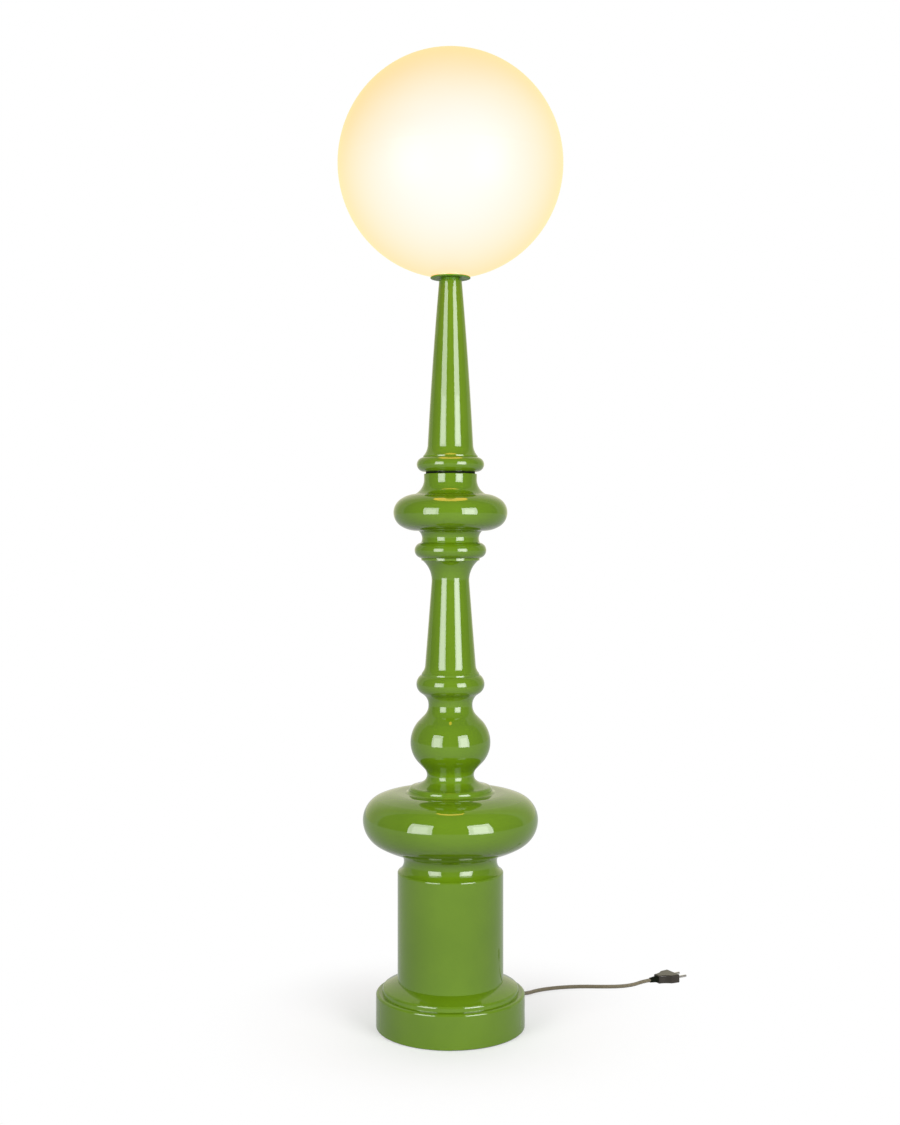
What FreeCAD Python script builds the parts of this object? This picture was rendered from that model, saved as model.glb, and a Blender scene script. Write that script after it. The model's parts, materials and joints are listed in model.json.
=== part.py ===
"""Turned column floor lamp with an opal globe, millimetres, +Z up.

The origin is on the floor, on the axis of the column.  -Y is the front and the supply cord leaves the
plinth at the back, +Y.  Seven hollow glazed ceramic segments are stacked on a steel tube that runs from
the ballast in the plinth to the lampholder in the globe.
"""
import FreeCAD, Part
import math
import os

import Sketcher

Vector = FreeCAD.Vector

# ---------------------------------------------------------------------------
# Driving dimensions.  "level" is a height above the floor.
# ---------------------------------------------------------------------------
DIMENSIONS = {
    # stack of ceramic segments, each from its own foot
    "plinth_level": 1.0,
    "plinth_radius": 115.5,
    "ring_radius": 105.6,
    "pedestal_level": 71.6,
    "pedestal_radius": 82.1,
    "cove_radius": 77.0,
    "torus_level": 269.0,
    "torus_radius": 135.8,
    "collar_radius": 64.6,
    "ball_level": 366.5,
    "ball_radius": 62.1,
    "lower_waist_radius": 36.4,
    "upper_waist_radius": 34.2,
    "lower_bead_radius": 52.9,
    "shaft_level": 545.0,
    "shaft_foot_radius": 39.3,
    "shaft_tip_radius": 29.3,
    "cushion_level": 726.0,
    "cushion_radius": 88.0,
    "upper_bead_radius": 55.7,
    "cushion_neck_radius": 41.1,
    "groove_level": 857.2,
    "groove_radius": 38.2,
    "spire_level": 860.2,
    "spire_foot_radius": 35.3,
    "spire_tip_radius": 17.8,
    "ring_bead_radius": 52.4,
    "neck_washer_level": 1157.5,
    "neck_washer_radius": 14.5,
    "disc_level": 1160.5,
    "disc_radius": 31.2,
    "seat_level": 1163.0,
    # bores of the segments where they stand on one another
    "pedestal_bore": 60.0,
    "torus_bore": 62.0,
    "ball_bore": 26.0,
    "shaft_bore": 20.0,
    "cushion_bore": 28.0,
    "spire_bore": 26.0,
    "gasket_width": 5.0,
    "gasket_height": 1.5,
    "bush_height": 8.0,
    # tube, ballast and bottom plate
    "rod_radius": 8.0,
    "rod_bore": 6.5,
    "rod_foot_level": 11.0,
    "rod_tip_level": 1187.0,
    "plate_level": 2.0,
    "plate_radius": 103.0,
    "plate_thickness": 3.0,
    "recess_radius": 104.0,
    "pad_bore": 84.0,
    "pad_radius": 102.0,
    "pad_thickness": 2.0,
    "standoff_circle": 70.0,
    "standoff_radius": 5.0,
    "screw_radius": 2.0,
    "screw_head_radius": 4.0,
    "ballast_level": 28.0,
    "ballast_height": 33.5,
    "ballast_radius": 88.0,
    # globe
    "globe_radius": 175.0,
    "glass_thickness": 3.0,
    "globe_hole_radius": 26.0,
    "gallery_radius": 24.0,
    # lampholder and bulb
    "holder_level": 1182.0,
    "shell_level": 1200.0,
    "holder_radius": 20.0,
    "bulb_level": 1213.3,
    "cap_radius": 13.1,
    "bulb_radius": 22.5,
    # supply cord and what is on it
    "cord_radius": 3.0,
    "gland_level": 20.0,
    "gland_radius": 6.0,
    "coil_east": -56.0,
    "coil_north": 176.0,
    "coil_inner": 21.2,
    "coil_outer": 45.7,
    "coil_floor": 1.3,
    "coil_height": 12.2,
    "coil_bevel": 2.5,
    "tie_thickness": 1.1,
    "tie_width": 8.0,
    "switch_east": 54.0,
    "switch_north": 140.0,
    "switch_length": 56.0,
    "switch_width": 30.0,
    "switch_floor": 0.3,
    "switch_seam": 10.0,
    "switch_top": 20.0,
    "switch_wall": 2.0,
    "switch_round": 3.0,
    "button_radius": 9.0,
    "entry_level": 6.0,
    "entry_length": 12.0,
    "plug_east": 338.0,
    "plug_north": 207.0,
    "plug_heading": 29.0,
    "plug_axis_level": 7.2,
    "plug_length": 36.0,
    "plug_width": 35.0,
    "plug_height": 13.7,
    "plug_round": 1.8,
    "plug_relief_length": 14.0,
    "pin_radius": 2.0,
    "pin_length": 19.0,
    "pin_spacing": 18.6,
}

# Free stretches of the cord's centreline, chosen by hand: out of the gland and round to the coil, from
# the coil under the strain relief to the foot switch, and from the switch across the floor to the plug.
LEAD_ROUTE = [
    (0, 145, 20), (0, 160, 20), (-1, 178, 13), (-9, 197, 6.2), (-26.6, 212.2, 4.3), (-45, 217.2, 4.3),
]
MIDDLE_ROUTE = [
    (-57, 133.4, 10.4), (-41, 133.3, 9.4), (-25, 134.4, 5.2), (-11, 138, 4.2), (2, 140, 6), (14, 140, 6),
]
END_ROUTE = [
    (94, 140, 6), (106, 140, 6), (118, 143.2, 4.6), (129, 150.8, 3.2), (147, 167, 3.1), (180, 180.5, 3.1),
    (218, 186.5, 3.1), (258, 184.5, 3.1), (289, 186.5, 3.1), (309, 191.8, 4.4), (325.76, 200.21, 7.2),
    (338, 207, 7.2),
]

doc = FreeCAD.newDocument("column_floor_lamp")
sheet = doc.addObject("Spreadsheet::Sheet", "dims")
subparts = []


def fill_sheet():
    for row, (alias, value) in enumerate(DIMENSIONS.items(), start=1):
        sheet.set(f"A{row}", alias)
        sheet.set(f"B{row}", str(value))
        sheet.setAlias(f"B{row}", alias)
    doc.recompute()


def value_of(size):
    """The number that an expression over the sheet's names gives."""
    return float(sheet.evalExpression(size))


def bound(size):
    """The same expression, as another object of the document writes it."""
    words = []
    for word in size.replace("(", "( ").replace(")", " )").split():
        words.append(f"dims.{word}" if word in DIMENSIONS else word)
    return " ".join(words)


def bind(thing, **properties):
    """Bind each named property to an expression over the sheet's names."""
    for name, size in properties.items():
        thing.setExpression(name, bound(size))


def place(thing, east="0", north="0", level="0", heading="0"):
    """Stand a sub-part at its place, turned about the vertical by its heading."""
    thing.setExpression(".Placement.Base.x", bound(east))
    thing.setExpression(".Placement.Base.y", bound(north))
    thing.setExpression(".Placement.Base.z", bound(level))
    thing.Placement.Rotation = FreeCAD.Rotation(Vector(0, 0, 1), value_of(heading))


def keep(thing, label):
    """Name a finished sub-part and list it for export."""
    thing.Label = label
    subparts.append(thing)
    return thing


# ---------------------------------------------------------------------------
# Sketches
# ---------------------------------------------------------------------------
def origin_plane(body, role):
    return next(f for f in body.Origin.OriginFeatures if f.Role == role)


def new_sketch(body, name, role):
    sketch = body.newObject("Sketcher::SketchObject", name)
    sketch.AttachmentSupport = [(origin_plane(body, role), "")]
    sketch.MapMode = "FlatFace"
    return sketch


def arc_between(start, end, radius, side):
    """The shorter arc of a radius from start to end; side "out" bulges to the right of the way there."""
    chord = end - start
    middle = (start + end) / 2
    right = Vector(chord.y, -chord.x, 0).normalize()
    bulge = right if side == "out" else -right
    rise = radius - math.sqrt(max(radius ** 2 - (chord.Length / 2) ** 2, 0.0))
    return Part.Arc(start, middle + bulge * rise, end)


def fix_corner(sketch, edge, end, across, along):
    """Pin one end of an edge to its distances from the sketch's origin."""
    for kind, axis, size in (("DistanceX", -2, across), ("DistanceY", -1, along)):
        if abs(value_of(size)) < 1e-9:
            sketch.addConstraint(Sketcher.Constraint("PointOnObject", edge, end, axis))
        else:
            index = sketch.addConstraint(Sketcher.Constraint(kind, -1, 1, edge, end, value_of(size)))
            sketch.setExpression(f"Constraints[{index}]", bound(size))


def draw_outline(sketch, corners):
    """A closed outline.  A corner is (across, along) or (across, along, side, radius): with the last two
    the way on to the next corner is an arc of that radius that bulges "out" or "in"."""
    points = [Vector(value_of(c[0]), value_of(c[1]), 0) for c in corners]
    edges = []
    for i, corner in enumerate(corners):
        start, end = points[i], points[(i + 1) % len(points)]
        if len(corner) == 2:
            edges.append((sketch.addGeometry(Part.LineSegment(start, end), False), 1, 2))
            continue
        arc = arc_between(start, end, value_of(corner[3]), corner[2])
        edge = sketch.addGeometry(arc, False)
        ends = (1, 2) if (sketch.getPoint(edge, 1) - start).Length < 1e-6 else (2, 1)
        edges.append((edge, *ends))
    for i, (edge, first, last) in enumerate(edges):
        following, start_end, _ = edges[(i + 1) % len(edges)]
        sketch.addConstraint(Sketcher.Constraint("Coincident", edge, last, following, start_end))
        fix_corner(sketch, edge, first, corners[i][0], corners[i][1])
    for corner, (edge, _, _) in zip(corners, edges):
        if len(corner) == 4:
            index = sketch.addConstraint(Sketcher.Constraint("Radius", edge, value_of(corner[3])))
            sketch.setExpression(f"Constraints[{index}]", bound(corner[3]))


# ---------------------------------------------------------------------------
# Kinds of sub-part
# ---------------------------------------------------------------------------
def turned_body(label, corners):
    """A body turned about the vertical from an outline of (radius, height) corners."""
    body = doc.addObject("PartDesign::Body", label + "_body")
    sketch = new_sketch(body, label + "_outline", "XZ_Plane")
    draw_outline(sketch, corners)
    revolution = body.newObject("PartDesign::Revolution", label + "_turned")
    revolution.Profile = sketch
    revolution.ReferenceAxis = (sketch, ["V_Axis"])
    revolution.Angle = 360
    return body


def turned(label, corners, level, east="0", north="0"):
    body = turned_body(label, corners)
    place(body, east, north, level)
    return keep(body, label)


def ring_corners(bore, radius, height, foot="0"):
    return [(bore, foot), (radius, foot), (radius, f"{foot} + {height}"), (bore, f"{foot} + {height}")]


def ring(label, bore, radius, height, level, east="0", north="0"):
    return turned(label, ring_corners(bore, radius, height), level, east, north)


def round_over(body, pad, radius, *levels):
    """Round the edges of a padded body that lie at the given heights."""
    doc.recompute()
    names = [f"Edge{i}" for i, edge in enumerate(pad.Shape.Edges, start=1)
             if any(abs(edge.BoundBox.ZMin - z) + abs(edge.BoundBox.ZMax - z) < 1e-4 for z in levels)]
    fillet = body.newObject("PartDesign::Fillet", body.Name + "_round")
    fillet.Base = (pad, names)
    bind(fillet, Radius=radius)
    pad.Visibility = False


def slab(label, length, width, corner, height, rounded=None):
    """A body padded up from a rectangle with rounded corners, centred on the vertical.  rounded names the
    radius of its upper edge, if it has one."""
    body = doc.addObject("PartDesign::Body", label + "_body")
    sketch = new_sketch(body, label + "_plan", "XY_Plane")
    x, y, c = f"{length} / 2", f"{width} / 2", corner
    draw_outline(sketch, [
        (f"{x} - {c}", f"0 - {y}", "out", c), (x, f"{c} - {y}"),
        (x, f"{y} - {c}", "out", c), (f"{x} - {c}", y),
        (f"{c} - {x}", y, "out", c), (f"0 - {x}", f"{y} - {c}"),
        (f"0 - {x}", f"{c} - {y}", "out", c), (f"{c} - {x}", f"0 - {y}"),
    ])
    pad = body.newObject("PartDesign::Pad", label + "_pad")
    pad.Profile = sketch
    bind(pad, Length=height)
    if rounded:
        round_over(body, pad, rounded, value_of(height))
    return body


def cylinder(name, radius, height, east="0", north="0", level="0", along="up", heading="0"):
    """A cylinder from its foot, standing up or lying along +Y ("north") or along a heading ("ahead")."""
    thing = doc.addObject("Part::Cylinder", name)
    bind(thing, Radius=radius, Height=height)
    place(thing, east, north, level)
    if along == "north":
        thing.Placement.Rotation = FreeCAD.Rotation(Vector(0, 0, 1), Vector(0, 1, 0))
    if along == "ahead":
        angle = math.radians(value_of(heading))
        thing.Placement.Rotation = FreeCAD.Rotation(
            Vector(0, 0, 1), Vector(math.cos(angle), math.sin(angle), 0))
    return thing


def cone(name, first, last, length, east, north, level, heading):
    """A tapered piece lying along a heading, from its first radius to its last."""
    thing = doc.addObject("Part::Cone", name)
    bind(thing, Radius1=first, Radius2=last, Height=length)
    place(thing, east, north, level)
    angle = math.radians(value_of(heading))
    thing.Placement.Rotation = FreeCAD.Rotation(
        Vector(0, 0, 1), Vector(math.cos(angle), math.sin(angle), 0))
    return thing


def block(name, length, width, height, east="0", north="0", level="0"):
    """A plain box centred over its place."""
    thing = doc.addObject("Part::Box", name)
    bind(thing, Length=length, Width=width, Height=height)
    place(thing, f"{east} - ({length}) / 2", f"{north} - ({width}) / 2", level)
    return thing


def hexagon(name, across_flats, height, level, bore, along="up", north="0"):
    """A hexagonal nut."""
    prism = doc.addObject("Part::Prism", name + "_prism")
    prism.Polygon = 6
    bind(prism, Circumradius=f"{across_flats} / 2 / cos(30)", Height=height)
    place(prism, "0", north, level)
    if along == "north":
        prism.Placement.Rotation = FreeCAD.Rotation(Vector(0, 0, 1), Vector(0, 1, 0))
    hole = cylinder(name + "_hole", bore, height, "0", north, level, along)
    return cut(name, prism, hole)


def cut(name, base, tool):
    thing = doc.addObject("Part::Cut", name)
    thing.Base = base
    thing.Tool = tool
    return thing


def fused(name, pieces):
    thing = doc.addObject("Part::MultiFuse", name)
    thing.Shapes = pieces
    return thing


def group(label, pieces):
    """Identical or like pieces, kept as separate solids of one sub-part."""
    thing = doc.addObject("Part::Compound", label + "_group")
    thing.Links = pieces
    return keep(thing, label)


def around(count, circle, start):
    """Expressions for the places of a ring of things."""
    for i in range(count):
        angle = start + i * 360.0 / count
        yield i, f"{circle} * cos({angle})", f"{circle} * sin({angle})"


# ---------------------------------------------------------------------------
# Ceramic segments
# ---------------------------------------------------------------------------
def segment_foot(bore):
    """Corners of a segment's inside at its foot, downwards: bore, then the rebate of its gasket."""
    return [
        (bore, "gasket_height"), (f"{bore} + gasket_width", "gasket_height"),
        (f"{bore} + gasket_width", "0"),
    ]


def make_plinth():
    height = "pedestal_level - plinth_level"
    body = turned_body("plinth", [
        ("plinth_radius - 1.5", "0", "out", "1.5"), ("plinth_radius", "1.5"),
        ("plinth_radius", "49.5", "out", "4"), ("plinth_radius - 4", "53.5"),
        ("ring_radius + 0.7", "53.5"), ("ring_radius", "58.6", "out", "4.5"),
        ("ring_radius - 3.6", "62.3", "out", "112"), ("pedestal_radius", height),
        ("rod_radius + 1", height), ("rod_radius + 1", f"{height} - 9.6"),
        ("plinth_radius - 15.5", f"{height} - 9.6"), ("plinth_radius - 15.5", "4"),
        ("recess_radius", "4"), ("recess_radius", "0"),
    ])
    solid_volume = turned_volume(body)
    sketch = new_sketch(body, "gland_hole_plan", "XZ_Plane")
    hole = sketch.addGeometry(Part.Circle(Vector(0, value_of("gland_level - plinth_level"), 0),
                                          Vector(0, 0, 1), value_of("gland_radius")), False)
    sketch.addConstraint(Sketcher.Constraint("PointOnObject", hole, 3, -2))
    level = sketch.addConstraint(Sketcher.Constraint("DistanceY", -1, 1, hole, 3, 19.0))
    sketch.setExpression(f"Constraints[{level}]", bound("gland_level - plinth_level"))
    radius = sketch.addConstraint(Sketcher.Constraint("Radius", hole, value_of("gland_radius")))
    sketch.setExpression(f"Constraints[{radius}]", bound("gland_radius"))
    pocket = body.newObject("PartDesign::Pocket", "gland_hole")
    pocket.Profile = sketch
    bind(pocket, Length="plinth_radius + 10")
    place(body, level="plinth_level")
    doc.recompute()
    if not body.Shape.Volume < solid_volume - 1000:
        raise RuntimeError("the gland hole cuts nothing")
    keep(body, "plinth")


def turned_volume(body):
    doc.recompute()
    return body.Shape.Volume


def make_pedestal():
    height = "torus_level - pedestal_level"
    turned("pedestal", [
        ("pedestal_radius", "0"), ("pedestal_radius", f"{height} - 30.5", "out", "3.4"),
        ("pedestal_radius - 2.5", f"{height} - 27.2", "in", "18.9"), ("cove_radius", height),
        ("torus_bore", height), ("torus_bore", f"{height} - 25"), ("pedestal_radius - 10", f"{height} - 37"),
        ("pedestal_radius - 10", "12"), ("pedestal_bore", "12"), *segment_foot("pedestal_bore"),
    ], "pedestal_level")


def make_torus():
    height = "ball_level - torus_level"
    turned("torus", [
        ("cove_radius", "0"), ("cove_radius + 0.7", "1", "out", "120"),
        ("torus_radius - 20.6", "15.4", "out", "43.3"), ("torus_radius", "49.3", "out", "38"),
        ("torus_radius - 20.3", "86.1", "out", "90"), ("collar_radius + 19.4", "93.8", "out", "400"),
        ("collar_radius + 6.4", "94", "in", "6"), ("collar_radius + 0.4", height),
        ("rod_radius + 4", height), ("rod_radius + 4", f"{height} - 10"), ("collar_radius", "86"),
        ("torus_radius - 31", "79"), ("torus_radius - 10", "50"), ("torus_radius - 31", "20"),
        ("torus_bore + 6", "12"), ("torus_bore", "12"), *segment_foot("torus_bore"),
    ], "torus_level")


def make_ball():
    height = "shaft_level - ball_level"
    turned("ball_baluster", [
        ("collar_radius", "0"), ("collar_radius", "0.6", "out", "5.5"),
        ("collar_radius - 5.1", "6.1", "in", "41"), ("lower_waist_radius + 5.1", "13.5", "in", "12.4"),
        ("lower_waist_radius", "23.5", "in", "16"), ("lower_waist_radius + 4.5", "33.8"),
        ("ball_radius - 12.3", "43.1", "out", "45"), ("ball_radius", "74.3", "out", "50"),
        ("ball_radius - 11.2", "105.4"), ("upper_waist_radius + 6.3", "116", "in", "22"),
        ("upper_waist_radius", "131.5", "in", "19.8"), ("upper_waist_radius + 6.6", "147.2"),
        ("lower_bead_radius - 8.7", "149.7", "out", "16.5"), ("lower_bead_radius", "164.5", "out", "17.5"),
        ("lower_bead_radius - 7", height), ("upper_waist_radius - 10", height),
        ("upper_waist_radius - 10", "125"), ("ball_radius - 12", "90"), ("ball_radius - 12", "62"),
        ("ball_bore", "40"), *segment_foot("ball_bore"),
    ], "ball_level")


def make_shaft():
    height = "cushion_level - shaft_level"
    turned("shaft", [
        ("shaft_foot_radius + 5.5", "0"), ("shaft_foot_radius + 5.5", "2.3"),
        ("shaft_foot_radius + 5", "3.3", "in", "20"), ("shaft_foot_radius", "15"),
        ("shaft_tip_radius", "143.9", "in", "40"), ("shaft_tip_radius + 13.7", f"{height} - 3.7"),
        ("shaft_tip_radius + 15.9", f"{height} - 3.1"), ("shaft_tip_radius + 16.1", height),
        ("shaft_bore", height), *segment_foot("shaft_bore"),
    ], "shaft_level")


def make_cushion():
    height = "groove_level - cushion_level"
    turned("cushion", [
        ("upper_bead_radius - 9.3", "0"), ("upper_bead_radius - 9.3", "0.6", "out", "12.2"),
        ("upper_bead_radius", "12.4", "out", "12.2"), ("upper_bead_radius - 9.5", "24.5"),
        ("upper_bead_radius - 10.2", "25", "in", "15"), ("upper_bead_radius - 7.2", "41.7"),
        ("upper_bead_radius - 5.7", "42.5", "out", "47.5"), ("cushion_radius - 11.6", "49.5", "out", "25.4"),
        ("cushion_radius - 10.5", "92.1", "out", "45"), ("cushion_neck_radius + 13.7", "100.1", "in", "25.5"),
        ("cushion_neck_radius", "124"), ("cushion_neck_radius + 0.2", f"{height} - 1", "out", "1"),
        ("cushion_neck_radius - 0.8", height), ("cushion_bore + 2", height), ("cushion_bore + 2", "106"),
        ("cushion_radius - 22", "90"), ("cushion_radius - 22", "58"), ("cushion_bore", "46"),
        *segment_foot("cushion_bore"),
    ], "cushion_level")


def make_spire():
    height = "neck_washer_level - spire_level"
    turned("spire", [
        ("ring_bead_radius - 10.9", "0"), ("ring_bead_radius - 10.9", "0.2", "out", "11.6"),
        ("ring_bead_radius", "11.6", "out", "11.2"), ("ring_bead_radius - 8.9", "22.5"),
        ("ring_bead_radius - 9.8", "22.9"), ("ring_bead_radius - 9.9", "25"),
        ("ring_bead_radius - 10.5", "25.3", "in", "28"), ("spire_foot_radius", "42.8", "out", "7600"),
        ("spire_tip_radius", f"{height} - 1.5", "out", "1.5"), ("spire_tip_radius - 1.5", height),
        ("rod_radius + 0.6", height), ("rod_radius + 0.6", f"{height} - 10"),
        ("rod_radius + 3", f"{height} - 20"), ("spire_bore", "34"), *segment_foot("spire_bore"),
    ], "spire_level")


def make_joints():
    """The dark ring in the open groove, and the gasket and centring bush in each other joint."""
    ring("groove_ring", "rod_radius + 14", "groove_radius", "spire_level - groove_level", "groove_level")
    gaskets, bushes = [], []
    for name in ("pedestal", "torus", "ball", "shaft", "cushion", "spire"):
        bore, level = f"{name}_bore", f"{name}_level"
        if name != "spire":
            gasket = turned_body(f"{name}_gasket",
                                 ring_corners(f"{bore} + 0.5", f"{bore} + gasket_width", "gasket_height"))
            place(gasket, level=level)
            gaskets.append(gasket)
        bush = turned_body(f"{name}_bush", ring_corners("rod_radius", bore, "bush_height"))
        place(bush, level=f"{level} + gasket_height")
        bushes.append(bush)
    group("joint_gaskets", gaskets)
    group("centring_bushes", bushes)


# ---------------------------------------------------------------------------
# Tube, ballast and bottom plate
# ---------------------------------------------------------------------------
def make_structure():
    ring("central_tube", "rod_bore", "rod_radius", "rod_tip_level - rod_foot_level", "rod_foot_level")
    ring("ballast", "rod_radius + 0.3", "ballast_radius", "ballast_height", "ballast_level")
    ring("bottom_washer", "rod_radius + 0.3", "rod_radius + 7", "2.5", "ballast_level - 2.5")
    keep(hexagon("bottom_nut_cut", "24", "8", "ballast_level - 10.5", "rod_radius"), "bottom_nut")
    ring("floor_pad", "pad_bore", "pad_radius", "pad_thickness", "plate_level - pad_thickness")

    plate = cylinder("base_plate_disc", "plate_radius", "plate_thickness", "0", "0", "plate_level")
    standoffs, screws = [], []
    for i, east, north in around(3, "standoff_circle", 30.0):
        hole = cylinder(f"plate_hole_{i}", "screw_radius + 0.2", "plate_thickness", east, north,
                        "plate_level")
        plate = cut(f"plate_cut_{i}", plate, hole)
        post = cylinder(f"post_{i}", "standoff_radius", "ballast_level - plate_level - plate_thickness",
                        east, north, "plate_level + plate_thickness")
        bore = cylinder(f"post_bore_{i}", "screw_radius", "8", east, north, "plate_level + plate_thickness")
        standoffs.append(cut(f"standoff_{i}", post, bore))
        shank = cylinder(f"shank_{i}", "screw_radius", "plate_thickness + 7", east, north, "plate_level")
        head = cylinder(f"head_{i}", "screw_head_radius", "1.6", east, north, "plate_level - 1.6")
        screws.append(fused(f"plate_screw_{i}", [shank, head]))
    keep(plate, "base_plate")
    group("plate_standoffs", standoffs)
    group("plate_screws", screws)


def make_seat():
    """What carries the globe: washer, visible disc, gallery, gasket and the nut that clamps the stack."""
    ring("neck_washer", "rod_radius", "neck_washer_radius", "disc_level - neck_washer_level",
         "neck_washer_level")
    turned("seat_disc", [
        ("rod_radius", "0"), ("disc_radius - 1", "0", "out", "1"), ("disc_radius", "1"),
        ("disc_radius", "1.5", "out", "1"), ("disc_radius - 1", "seat_level - disc_level"),
        ("rod_radius", "seat_level - disc_level"),
    ], "disc_level")
    turned("globe_gallery", [
        ("rod_radius", "0"), ("gallery_radius", "0"), ("gallery_radius", "11"), ("gallery_radius - 2", "13"),
        ("gallery_radius - 4", "13"), ("gallery_radius - 4", "3"), ("rod_radius", "3"),
    ], "seat_level")
    ring("glass_gasket", "gallery_radius + 0.2", "disc_radius - 0.7", "1.6", "seat_level")
    keep(hexagon("top_nut_cut", "24", "8", "seat_level + 3", "rod_radius"), "top_nut")


# ---------------------------------------------------------------------------
# Globe, lampholder and bulb
# ---------------------------------------------------------------------------
def make_globe():
    hole, outer = "globe_hole_radius", "globe_radius"
    inner = "(globe_radius - glass_thickness)"
    turned("globe", [
        (hole, f"{outer} - sqrt({outer} ^ 2 - {hole} ^ 2)", "out", outer), (outer, outer, "out", outer),
        ("0", f"{outer} * 2"), ("0", f"{outer} + {inner}", "in", inner), (inner, outer, "in", inner),
        (hole, f"{outer} - sqrt({inner} ^ 2 - {hole} ^ 2)"),
    ], "seat_level")


def make_lampholder():
    turned("lampholder_base", [
        ("rod_radius", "0"), ("holder_radius - 7", "0"), ("holder_radius - 1", "8"),
        ("holder_radius - 1", "shell_level - holder_level"),
        ("holder_radius - 4", "shell_level - holder_level"),
        ("holder_radius - 4", "9"), ("rod_radius", "5"),
    ], "holder_level")
    ring("lampholder_shell", "holder_radius - 2.5", "holder_radius", "36", "shell_level")
    turned("lampholder_core", [
        ("2.6", "0"), ("holder_radius - 2.6", "0"), ("holder_radius - 2.6", "8"), ("2.6", "8"),
    ], "shell_level")
    ring("screw_shell", "cap_radius + 0.5", "cap_radius + 1.1", "25", "shell_level + 8")
    turned("centre_contact", [
        ("0", "0"), ("2.5", "0"), ("2.5", "8"), ("5", "9"), ("5", "bulb_level - shell_level - 1.3"),
        ("3", "bulb_level - shell_level - 0.3"), ("0", "bulb_level - shell_level - 0.3"),
    ], "shell_level")
    screws = [cylinder(f"contact_screw_{i}", "1.7", "3", east, north, "shell_level - 3")
              for i, east, north in around(2, "9", 0.0)]
    group("terminal_screws", screws)


def make_bulb():
    turned("bulb_contact", [
        ("0", "0"), ("3.5", "0", "out", "1.2"), ("4.6", "1.2"), ("4.6", "1.7"), ("0", "1.7"),
    ], "bulb_level")
    turned("bulb_insulator", [("0", "0"), ("6", "0"), ("11.6", "2.9"), ("0", "2.9")], "bulb_level + 1.8")
    turned("bulb_cap", [
        ("0", "0"), ("cap_radius - 1", "0"), ("cap_radius", "1"), ("cap_radius", "18"), ("0", "18"),
    ], "bulb_level + 4.7")
    turned("bulb_neck", [
        ("0", "0"), ("cap_radius + 0.5", "0"), ("cap_radius + 1.4", "5"), ("bulb_radius - 0.5", "24"),
        ("bulb_radius - 0.5", "26"), ("0", "26"),
    ], "bulb_level + 22.7")
    turned("led_board", [("0", "0"), ("17", "0"), ("17", "1.6"), ("0", "1.6")], "bulb_level + 48.7")
    dome = "(bulb_radius - 1.6)"
    turned("bulb_dome", [
        (dome, "0"), ("bulb_radius", "0"), ("bulb_radius", "8", "out", "bulb_radius"),
        ("0", "bulb_radius + 8"), ("0", f"{dome} + 8", "in", dome), (dome, "8"),
    ], "bulb_level + 48.7")


# ---------------------------------------------------------------------------
# Wiring in the plinth and the gland
# ---------------------------------------------------------------------------
def make_gland():
    flange = "plinth_radius + 0.1"
    thread = cylinder("gland_thread", "gland_radius", f"{flange} - 95", "0", "95", "gland_level", "north")
    collar = cylinder("gland_collar", "gland_radius + 3", "3", "0", flange, "gland_level", "north")
    body = fused("gland_body", [thread, collar])
    way = cylinder("gland_way", "cord_radius", "26", "0", "94", "gland_level", "north")
    keep(cut("gland_cut", body, way), "cord_gland")
    keep(hexagon("gland_nut_cut", "18", "3", "gland_level", "gland_radius", "north", "96.3"), "gland_nut")
    north = "plinth_radius + 3.1"
    keep(cone("relief_cone", "gland_radius + 1", "cord_radius + 1.2", f"145 - ({north})", "0", north,
              "gland_level", "90"), "strain_relief")


def make_wiring():
    tail = cylinder("tail", "cord_radius", "plinth_radius + 3.1 - 58", "0", "58", "gland_level", "north")
    keep(tail, "cord_tail")
    clamp = block("clamp_block", "24", "8", "gland_level", "0", "76", "plate_level + plate_thickness")
    way = cylinder("clamp_way", "cord_radius", "12", "0", "70", "gland_level", "north")
    keep(cut("clamp_cut", clamp, way), "cord_clamp")
    clamp_top = "plate_level + plate_thickness + gland_level"
    screws = [cylinder(f"clamp_screw_{i}", "2.6", "1.6", east, "76", clamp_top)
              for i, east in enumerate(("-8.5", "8.5"))]
    group("clamp_screws", screws)
    housing = block("terminal_housing", "30", "18", "18.5", "0", "49", "plate_level + plate_thickness")
    keep(housing, "terminal_block")


# ---------------------------------------------------------------------------
# Round things that follow a route
# ---------------------------------------------------------------------------
def rounded_path(points, widest=None, report=None):
    """Straight runs joined by tangent arcs, each as large as its two runs allow."""
    points = [Vector(*p) for p in points]
    edges, start, radii = [], points[0], []
    for before, corner, after in zip(points, points[1:], points[2:]):
        back, ahead = before - corner, after - corner
        half_turn = (math.pi - back.getAngle(ahead)) / 2
        reach = 0.45 * min(back.Length, ahead.Length)
        if widest is not None:
            reach = min(reach, widest * math.tan(half_turn))
        radius = reach / math.tan(half_turn)
        radii.append(round(radius, 1))
        back.normalize()
        ahead.normalize()
        centre_way = (back + ahead).normalize()
        to_centre = radius / math.cos(half_turn)
        middle = corner + centre_way * (to_centre - radius)
        first, last = corner + back * reach, corner + ahead * reach
        edges += [Part.LineSegment(start, first).toShape(), Part.Arc(first, middle, last).toShape()]
        start = last
    edges.append(Part.LineSegment(start, points[-1]).toShape())
    if report:
        print(f"{report}: arc radii {radii}, least {min(radii)} mm")
    return Part.Wire(edges)


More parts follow.
